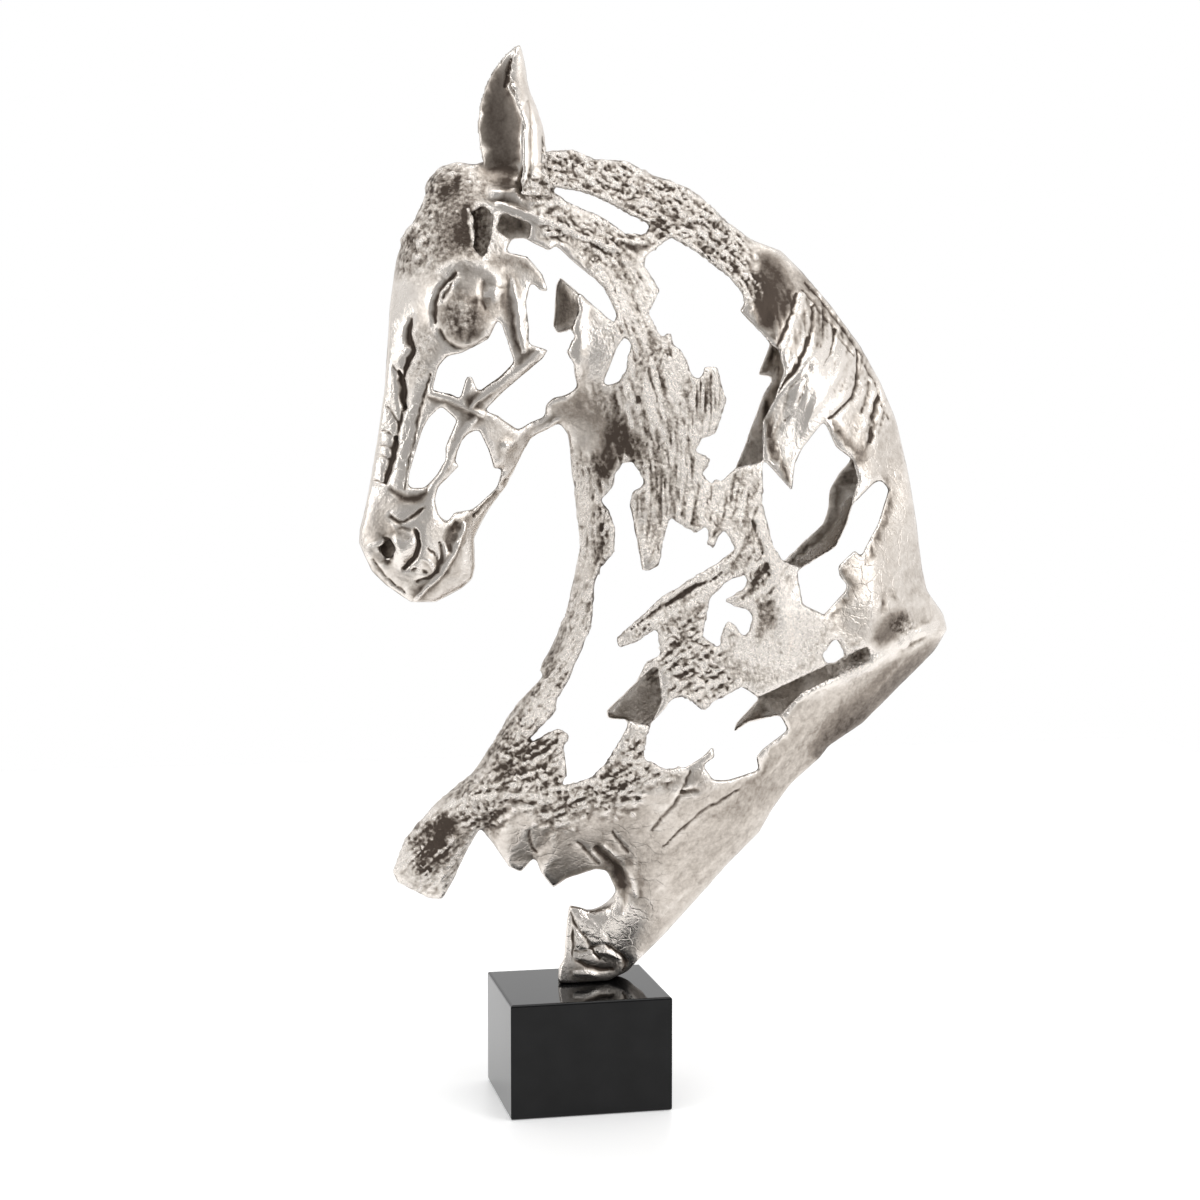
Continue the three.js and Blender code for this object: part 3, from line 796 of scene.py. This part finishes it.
def carve(mesh, strokes, far_share):
    places = places_of(mesh)
    normals = normals_of(mesh)
    share = np.where(places[:, 1] > MIDDLE_PLANE, far_share, 1) * outward_share(mesh)
    heights = stroke_sum(squares_of(places), strokes, 2) / 1000 * share
    put_places(mesh, places + normals * heights[:, None])
    print(len(strokes), "strokes, heights", [round(1000 * x, 1) for x in (heights.min(), heights.max())])


carve(casting.data, STROKES, FAR_SHARE)
carve(casting.data, FOOT_STROKES, FAR_FOOT_SHARE)

# %% [markdown]
# ## Painted shade and painted highlights on the metal
# Painted shade goes in the sheltered places, under the rims, on faces turned away from the lamps and on the
# torn edges. Painted highlights go on the proud places and on faces turned to the lamps, and some of the
# shade also stands for tarnish. These strokes add to the share of tarnish, or take from it where they are
# below zero.

# %% Painted shade, painted highlights and tarnish
# Above zero a stroke is painted shade, partly tarnish; below zero it is a painted highlight
PAINTED_LIGHT_AND_TARNISH = {
    "ear inside": (22, 0.48, "497,66 492,110 498,150 512,188"),
    "ear back": (6, -0.05, "530,100 533,150 530,180"),
    "poll": (26, 0.33, "440,185 460,215 445,245"),
    "upper tuft": (16, 0.36, "443,184 456,189"),
    "middle tuft": (11, 0.42, "409,234 417,230"),
    "lower tuft": (9, 0.28, "400,258 420,260"),
    "temple": (22, 0.22, "470,215 465,262"),
    "cheekbone": (27, 0.52, "462,300 468,325"),
    "under the cheekbone": (12, 0.22, "450,336 475,338"),
    "tear bump": (9, -0.30, "494,292 495,297"),
    "upper bridge": (15, -0.25, "405,284 394,350"),
    "lower bridge": (12, -0.30, "388,370 378,440 372,500"),
    "bridge strip": (6, -0.36, "420,380 410,430 400,482"),
    "slit shades": (4, 0.50, "410,321 407,340 413,350 406,374", "400,374 402,405", "396,438 386,480"),
    "under the slits": (8, 0.34, "398,500 412,500 424,498"),
    "nose bowl": (5, -0.25, "400,512 408,513"),
    "nostril": (11, 0.26, "383,548 388,560"),
    "dome shade": (12, 0.32, "382,536 399,531"),
    "nostril crescent": (3, 0.50, "418,536 419,551 411,562 404,569"),
    "nostril shine": (8, -0.34, "408,545 402,562"),
    "muzzle rim": (5, 0.25, "370,566 386,586 402,598"),
    "lips": (8, 0.24, "440,560 430,580 412,590"),
    "chin groove": (7, 0.30, "457,524 449,540"),
    "chin": (10, -0.20, "468,530 466,570"),
    "ear cave": (11, -0.10, "482,212 483,230 488,250"),
    "left of the cave": (8, 0.26, "468,208 466,232 478,254"),
    "brow strap": (6, 0.36, "498,264 510,258 524,262 537,274 545,288"),
    "cave strip": (3, -0.50, "496,206 493,222 492,234"),
    "poll triangle": (9, 0.34, "504,222 522,226"),
    "poll ridge": (4, -0.50, "499,204 522,212 550,223 579,236 620,250"),
    "bar left face": (5, 0.32, "500,282 510,320 519,360"),
    "bar right face": (6, -0.30, "524,275 528,320 531,342"),
    "slanting bar": (7, 0.22, "543,350 505,380 470,404"),
    "strut": (9, 0.30, "428,394 455,400 480,414"),
    "lower strut": (8, 0.18, "452,440 440,480 420,496"),
    "leaf left face": (11, 0.38, "562,284 560,332"),
    "leaf right face": (14, -0.40, "592,325 600,370"),
    "leaf edge": (5, 0.25, "584,345 575,380 580,405"),
    "junction": (22, 0.24, "570,412 606,404"),
    "smooth hollow": (19, 0.60, "615,424 620,452 604,470"),
    "hook strap": (8, 0.30, "668,220 643,244 614,242"),
    "crest": (26, 0.06, "548,172 600,184 680,218 740,268"),
    "high crest": (16, -0.10, "690,226 730,252"),
    "crest shade": (18, 0.60, "768,262 776,290 770,318"),
    "low crest shade": (12, 0.30, "756,280 764,312 762,336"),
    "crest underside": (5, 0.30, "640,215 672,238 705,264 742,290"),
    "neck middle": (40, -0.10, "680,350 700,430 705,500"),
    "neck left": (16, 0.16, "640,420 648,500"),
    "upper neck": (22, -0.20, "640,270 645,320"),
    "upper prong": (6, 0.30, "669,335 671,356"),
    "lower prong": (9, 0.25, "704,372 706,405"),
    "front strand": (6, 0.40, "776,345 758,380 746,440 738,480"),
    "curved spike": (4.5, 0.70, "766,400 768,425 771,448 780,468 790,485"),
    "mane": (26, -0.40, "832,350 815,395 800,445"),
    "lock left face": (5, 0.34, "793,290 782,320 770,352 764,373"),
    "lock shade": (8, 0.28, "815,303 820,325 818,348"),
    "deep furrow": (3.4, 0.40, "808,337 803,356 787,381 778,391"),
    "back furrow": (5, 0.30, "878,398 875,417 870,441"),
    "mane top": (8, 0.26, "800,272 835,320 866,362"),
    "strap left face": (8, 0.36, "864,458 838,482 828,505 824,530 790,562"),
    "low mane": (16, -0.28, "818,395 802,422 790,455"),
    "strap edge light": (3.5, -0.90, "851,486 846,505 841,522 832,539 800,561"),
    "strap root": (5, 0.35, "872,436 862,450 854,464"),
    "upper strap face": (5, 0.55, "832,419 842,438 855,451"),
    "slot right face": (3.8, 0.70, "884,478 891,489 885,514 879,532 868,559"),
    "knob left face": (3.0, 0.50, "857,554 843,566 845,577 852,584 850,594 829,617"),
    "nape": (24, -0.04, "885,430 900,520 905,590"),
    "wedge": (20, 0.06, "622,712 650,668"),
    "shoulder column": (14, -0.30, "762,500 776,560 790,620 790,650"),
    "shoulder": (24, -0.34, "800,600 800,650 750,650"),
    "dark shoulder scoop": (9, 0.34, "764,600 768,622 758,640"),
    "bone underside": (6, 0.34, "764,562 754,590 728,600"),
    "nape shade": (12, 0.52, "880,640 892,626 904,616"),
    "first nape mark": (1.8, 0.32, "881,594 885,614"),
    "second nape mark": (1.8, 0.36, "892,591 897,611"),
    "rim underside": (26, 0.46, "935,655 885,702 825,752"),
    "bright rim": (7, -0.38, "792,698 836,682 859,669 884,656 906,640 935,625"),
    "throat front": (8, -0.30, "582,500 586,560 578,620 556,690 520,730"),
    "throat back": (8, 0.24, "602,470 607,530 600,600 582,660"),
    "breast": (20, 0.34, "535,745 500,780"),
    "breast bone": (8, -0.15, "500,745 470,790 430,815"),
    "chest tip": (18, 0.90, "446,822 424,866"),
    "chest tip edge": (6, -0.25, "404,830 398,868"),
    "chest band": (16, 0.16, "480,795 560,800 610,790 650,765"),
    "under the band": (10, 0.26, "470,818 505,822"),
    "skirt": (60, 0.12, "560,850 650,860 760,780 830,720"),
    "upper skirt": (22, 0.10, "720,810 765,775"),
    "lower skirt": (40, 0.10, "620,900 650,940"),
    "notch fold": (7, 0.16, "600,855 618,872 626,900"),
    "foot sole": (3.5, 0.30, "562,983 590,982 612,977 630,968"),
    "ankle": (22, -0.46, "618,905 622,940"),
    "foot facet": (12, -0.65, "580,916 590,926 602,942"),
    "ankle shine": (9, -0.30, "629,910 631,932"),
    "foot front strip": (4.5, -0.45, "568,922 566,946 562,976"),
    "foot inner facet": (6, -0.25, "580,942 584,956"),
    "low ridge shine": (4, -0.60, "598,951 606,953 618,957"),
    "foot low shade": (4, 0.30, "578,962 592,967 612,968 626,963"),
    "sole shine": (3.5, -0.80, "576,974 593,974"),
}
TORN_EDGE_SHADE = 0.34  # painted shade on a torn edge
RAGGED_WIDTH = 3.0  # squares, the blur of the torn edges that the grain moves sideways


def store_painted_light_and_tarnish(mesh, strokes):
    squares = squares_of(places_of(mesh))
    # painted shade and painted highlights from the strokes, plus painted shade on the torn edges
    painted_light_and_tarnish = stroke_sum(squares, strokes, 3) + TORN_EDGE_SHADE * torn_share(mesh)
    store_share(mesh, "painted_light_and_tarnish", painted_light_and_tarnish)
    store_share(mesh, "torn", near_torn_share(mesh, RAGGED_WIDTH))
    print(len(strokes), "places of tarnish, from", round(painted_light_and_tarnish.min(), 2), "to", round(painted_light_and_tarnish.max(), 2))


store_painted_light_and_tarnish(casting.data, PAINTED_LIGHT_AND_TARNISH)

# %% [markdown]
# ## Streaks that follow the form
# The wax was dragged along the neck, the throat and the mane, so the streaks run with the form. A
# few flow lines give the direction everywhere. Noise smeared along that direction turns into streaks,
# and each point of the mesh keeps the value of its square. The streaks fade where the skin turns away.

# %% Smear noise along the flow lines
FLOW_LINES = [
    "545,165 620,185 700,225 760,275 800,320",
    "800,300 780,370 755,450 740,520",
    "865,360 845,430 800,470",
    "880,420 915,520 925,610",
    "630,260 660,360 690,460 700,560",
    "585,440 602,540 588,620 555,700 500,770 430,860",
    "420,260 395,380 375,500",
    "480,180 440,220 420,260",
    "450,800 540,790 620,770 700,720",
    "540,850 640,800 760,740",
    "640,950 760,830 900,660",
    "620,640 680,600 745,555",
    "510,60 512,180",
]
FLOW_CELL = 2.0  # squares
FLOW_REACH = 70.0  # squares that a line's direction carries
STREAK_STEPS = 5
FLAKE_STEPS = 2
COARSE_BLUR, COARSE_SHARE = 1.6, 0.6  # cells, and how much the broad streaks count beside the fine ones
FADE_SLOPE, FADE_END = 1.6, 0.2  # how fast the streaks end where the skin turns away
FLOW_SEED = 11


def flow_directions(lines, size):
    """The direction of the flow in each cell, as one unit vector."""
    middle = (np.indices((size, size)) + 0.5) * FLOW_CELL
    doubled = np.zeros((2, size, size))
    for line in map(spots_in, lines):
        for start, end in zip(line[:-1], line[1:]):
            spot = (start + end) / 2
            turn = 2 * math.atan2(end[1] - start[1], end[0] - start[0])
            distance = np.hypot(middle[0] - spot[0], middle[1] - spot[1])
            weight = np.exp(-((distance / FLOW_REACH) ** 2)) + 1e-9
            doubled += weight * np.array([math.cos(turn), math.sin(turn)])[:, None, None]
    turn = np.arctan2(doubled[1], doubled[0]) / 2
    return np.array([np.cos(turn), np.sin(turn)])


def smeared(noise, flow, steps):
    """The noise averaged along the flow, both ways from each cell."""
    size = noise.shape[0]
    total = noise.copy()
    for sense in (-1, 1):
        spot = np.indices((size, size)).astype(float)
        last = sense * flow
        for _ in range(steps):
            spot = np.clip(spot + last, 0, size - 1)
            across, down = np.rint(spot).astype(int)
            total += noise[across, down]
            here = flow[:, across, down]
            last = here * np.where((here * last).sum(axis=0) < 0, -1, 1)
    return total / total.std()


def store_flow(mesh):
    size = int(SQUARES / FLOW_CELL)
    chance = np.random.default_rng(FLOW_SEED)
    flow = flow_directions(FLOW_LINES, size)
    fine = smeared(chance.standard_normal((size, size)), flow, STREAK_STEPS)
    broad = blurred(chance.standard_normal((size, size)), COARSE_BLUR)
    coarse = smeared(broad, flow, 2 * STREAK_STEPS)
    short = smeared(chance.standard_normal((size, size)), flow, FLAKE_STEPS)
    squares = squares_of(places_of(mesh))
    facing = np.clip(FADE_SLOPE * np.abs(normals_of(mesh)[:, 1]) - FADE_END, 0, 1)
    for name, pattern in (("flow", fine + COARSE_SHARE * coarse), ("flake", short)):
        found = read_map(pattern, squares, FLOW_CELL)
        store_share(mesh, name, facing * found / found.std())
    print("streaks in", size * size, "cells")


store_flow(casting.data)

# %% [markdown]
# ## The grain of the skin
# Grain, streaks and cracks follow the surface everywhere, so a Geometry Nodes tree lays them on: it
# mixes noise and cell patterns by the patches above and moves each point along its normal. It also
# measures how deep each point lies below its neighbours, which keeps the tarnish in the hollows.

# %% The skin's grain as a tree
GRAIN = {
    "Crust depth": 0.0006,
    "Crust size": 0.0030,
    "Fine crust depth": 0.0004,
    "Fine crust size": 0.0024,
    "Streak depth": 0.0003,
    "Lock depth": 0.0003,
    "Crumble depth": 0.0006,
    "Crumble size": 0.0036,
    "Flake depth": 0.0004,
    "Crack depth": 0.0001,
    "Crack spacing": 0.0110,
    "Smooth skin depth": 0.0002,
    "Ragged edge": 0.0040,
    "Seed": 7.0,
}
LUMPS = [  # a patch, the name of its sizes, and the detail and chance of its noise
    ("crust", "Crust", 3.0, 0.0),
    ("crumble", "Crumble", 2.0, 5.0),
    ("fine_crust", "Fine crust", 3.0, 3.0),
]
SMOOTH_WAVES = (0.014, 2.0, 9.0)  # metres from wave to wave, detail and chance
GROOVE_WIDTH = 0.09  # of the crack spacing
HOLLOW_ROUNDS = 5  # rounds of averaging that a hollow is measured against
NOISE_ROUGHNESS = 0.65
RAGGED_NOISE = (150.0, 2.0)  # cells in a metre and detail


def grain_tree():
    group, sockets, t, enter = start_tree("cast skin grain", GRAIN)
    place = t.add("GeometryNodeInputPosition")
    normal = t.add("GeometryNodeInputNormal")

    def size(name):
        return enter[name]

    def noise(spacing, detail, chance):
        node = t.noise(place, t.maths("DIVIDE", 1.0, spacing), detail, NOISE_ROUGHNESS)
        node.noise_dimensions = "4D"
        t.put(node, "W", t.total(size("Seed"), chance))
        return t.fitted(node, 4.0, -2.0)

    stored = functools.partial(named_share, t)
    lumps = [
        t.times(stored(patch), size(name + " depth"), noise(size(name + " size"), detail, chance))
        for patch, name, detail, chance in LUMPS
    ]
    streaks = t.times(stored("streaks"), size("Streak depth"), stored("flow"))
    locks = t.times(stored("locks"), size("Lock depth"), stored("flow"))
    smooth = t.times(size("Smooth skin depth"), noise(*SMOOTH_WAVES))
    edges = t.cells(place, t.maths("DIVIDE", 1.0, size("Crack spacing")), "DISTANCE_TO_EDGE")
    groove = t.maths("SUBTRACT", t.maths("DIVIDE", edges, GROOVE_WIDTH, clamp=True), 1.0)
    cracks = t.times(stored("cracks"), size("Crack depth"), groove)
    clumps = t.maths("MAXIMUM", stored("crust"), stored("crumble"))
    flakes = t.times(clumps, size("Flake depth"), stored("flake"))
    height = t.total(*lumps, streaks, locks, smooth, cracks, flakes)
    ragged = t.noise(place, *RAGGED_NOISE).outputs["Color"]
    edge = t.times(stored("rugged"), size("Ragged edge"), stored("torn"))
    aside = t.scaled(t.vector_maths("SUBTRACT", ragged, (0.5, 0.5, 0.5)), edge)
    offset = t.vector_maths("ADD", t.scaled(normal, height), aside)
    moved = t.add("GeometryNodeSetPosition", Geometry=enter["Geometry"], Offset=offset)
    kind = {"data_type": "FLOAT_VECTOR"}
    around = t.add("GeometryNodeBlurAttribute", kind, Value=place, Iterations=HOLLOW_ROUNDS)
    below = t.vector_maths("DOT_PRODUCT", t.vector_maths("SUBTRACT", around, place), normal)
    kept = t.add("GeometryNodeStoreNamedAttribute", Geometry=moved, Name="hollow", Value=below)
    end_tree(t, kept, silvered)
    return group, sockets


grow(casting, *grain_tree(), GRAIN)

# %% [markdown]
# ## Thinning the net
# Smooth stretches, such as the inside of the neck, need far fewer faces than the crust does. The
# Decimate modifier takes away the points that change the shape least.

# %% Thin the net


def triangles_in(mesh):
    return sum(polygon.loop_total - 2 for polygon in mesh.polygons)


def thin_net(piece, most):
    before = triangles_in(piece.data)
    if before > most:
        decimate = piece.modifiers.new("thin", "DECIMATE")
        decimate.ratio = most / before
        plain_mesh_of(piece)
    print("thinned from", before, "to", triangles_in(piece.data), "triangles")


def wear(piece, material):
    piece.data.materials.clear()
    piece.data.materials.append(material)


thin_net(casting, MOST_TRIANGLES)
casting.data.shade_smooth()
wear(casting, silvered)
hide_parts("horse_head")
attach(casting, "root")

# %% [markdown]
# ## Polished black stone
# The block is black right through, and polished. What shows is nearly all reflection: a clear gloss
# with very faint polishing waves, so the solid keeps its own mesh and only gets this finish.

# %% Black block
STONE_TONES = [(0.35, (0.0022, 0.0022, 0.0024)), (0.75, (0.006, 0.006, 0.0064))]
STONE_ROUGHNESS = 0.03  # and up to as much again in its clouds
STONE_IOR = 1.32
STONE_CLOUDS = (60.0, 5.0)  # cells in a metre and detail
STONE_WAVES = (14.0, 1.0)


def black_stone():
    material, t, shader = new_material("polished black stone")
    place = t.add("ShaderNodeTexCoord").outputs["Object"]
    cloud = t.noise(place, *STONE_CLOUDS)
    t.put(shader, "Base Color", ramp(t, cloud, STONE_TONES))
    t.put(shader, "Roughness", t.fitted(cloud, STONE_ROUGHNESS, STONE_ROUGHNESS))
    shader.inputs["IOR"].default_value = STONE_IOR
    bump = t.add("ShaderNodeBump", Strength=0.03, Distance=0.001, Height=t.noise(place, *STONE_WAVES))
    t.put(shader, "Normal", bump)
    return material


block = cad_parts["plinth_block"]
stone = black_stone()
for slot in block.material_slots:
    slot.material = stone

# %% [markdown]
# ## Studio
# A rough metal shows what surrounds it. So the room is white behind the horse and above it, darker
# on the viewer's side, and three soft lamps draw the bright edges. The floor is plain white.

# %% Floor, lamps and room
FLOOR = [(-1.2, -0.38), (1.2, -0.38), (1.2, 1.6), (-1.2, 1.6)]  # its corners
FLOOR_HEIGHT = -0.0002
FLOOR_LOOK = {
    "Base Color": (0.9, 0.9, 0.9, 1),
    "Roughness": 0.35,
    "Emission Color": (1, 1, 1, 1),
    "Emission Strength": 0.25,
}
AIM = (0.05, 0.01, 0.38)  # the middle of the piece
LAMPS = [  # name, place, size, watts
    ("right softbox", (1.3, -1.5, 0.9), (0.7, 1.3), 9),
    ("left strip", (-1.5, -0.6, 0.8), (0.3, 1.4), 5),
    ("top softbox", (0.0, -0.4, 2.0), (1.6, 1.0), 9),
]
ROOM = {  # along which way the brightness changes, from where to where, and from what to what
    "back": ("Y", -0.5, 0.7, 0.42, 1.0),
    "left": ("X", -0.95, -0.45, 0.5, 0.0),
    "right": ("X", 0.15, 0.80, 0.0, 1.0),
    "above": ("Z", 0.2, 0.9, 0.0, 0.8),
}


def make_floor():
    mesh = bpy.data.meshes.new("floor")
    mesh.from_pydata([(x, y, FLOOR_HEIGHT) for x, y in FLOOR], [], [(0, 1, 2, 3)])
    floor = new_object("floor", mesh)
    material, _, shader = new_material("white floor")
    for name, value in FLOOR_LOOK.items():
        shader.inputs[name].default_value = value
    wear(floor, material)


def make_lamp(name, place, size, watts):
    light = bpy.data.lights.new(name, "AREA")
    light.shape = "RECTANGLE"
    light.size, light.size_y = size
    light.energy = watts
    lamp = new_object(name, light)
    lamp.location = place
    lamp.rotation_euler = (Vector(AIM) - Vector(place)).to_track_quat("-Z", "Y").to_euler()


def make_room():
    world = bpy.data.worlds.new("white room")
    bpy.context.scene.world = world
    world.use_nodes = True
    world.node_tree.nodes.clear()
    t = Tree(world.node_tree)
    direction = t.add("ShaderNodeTexCoord").outputs["Generated"]
    apart = t.add("ShaderNodeSeparateXYZ", Vector=direction)

    def rise(along, *levels):
        node = t.add("ShaderNodeMapRange", {"interpolation_type": "SMOOTHSTEP"}, Value=apart.outputs[along])
        for name, level in zip(("From Min", "From Max", "To Min", "To Max"), levels):
            t.put(node, name, level)
        return node.outputs[0]

    seen = t.add("ShaderNodeLightPath").outputs["Is Camera Ray"]
    walls = [rise(*row) for row in ROOM.values()]
    strength = functools.reduce(lambda one, other: t.maths("MAXIMUM", one, other), [seen, *walls])
    background = t.add("ShaderNodeBackground", Strength=strength, Color=(1, 1, 1, 1))
    t.add("ShaderNodeOutputWorld", Surface=background)


make_floor()
for row in LAMPS:
    make_lamp(*row)
make_room()
bpy.context.scene.view_settings.view_transform = "Standard"
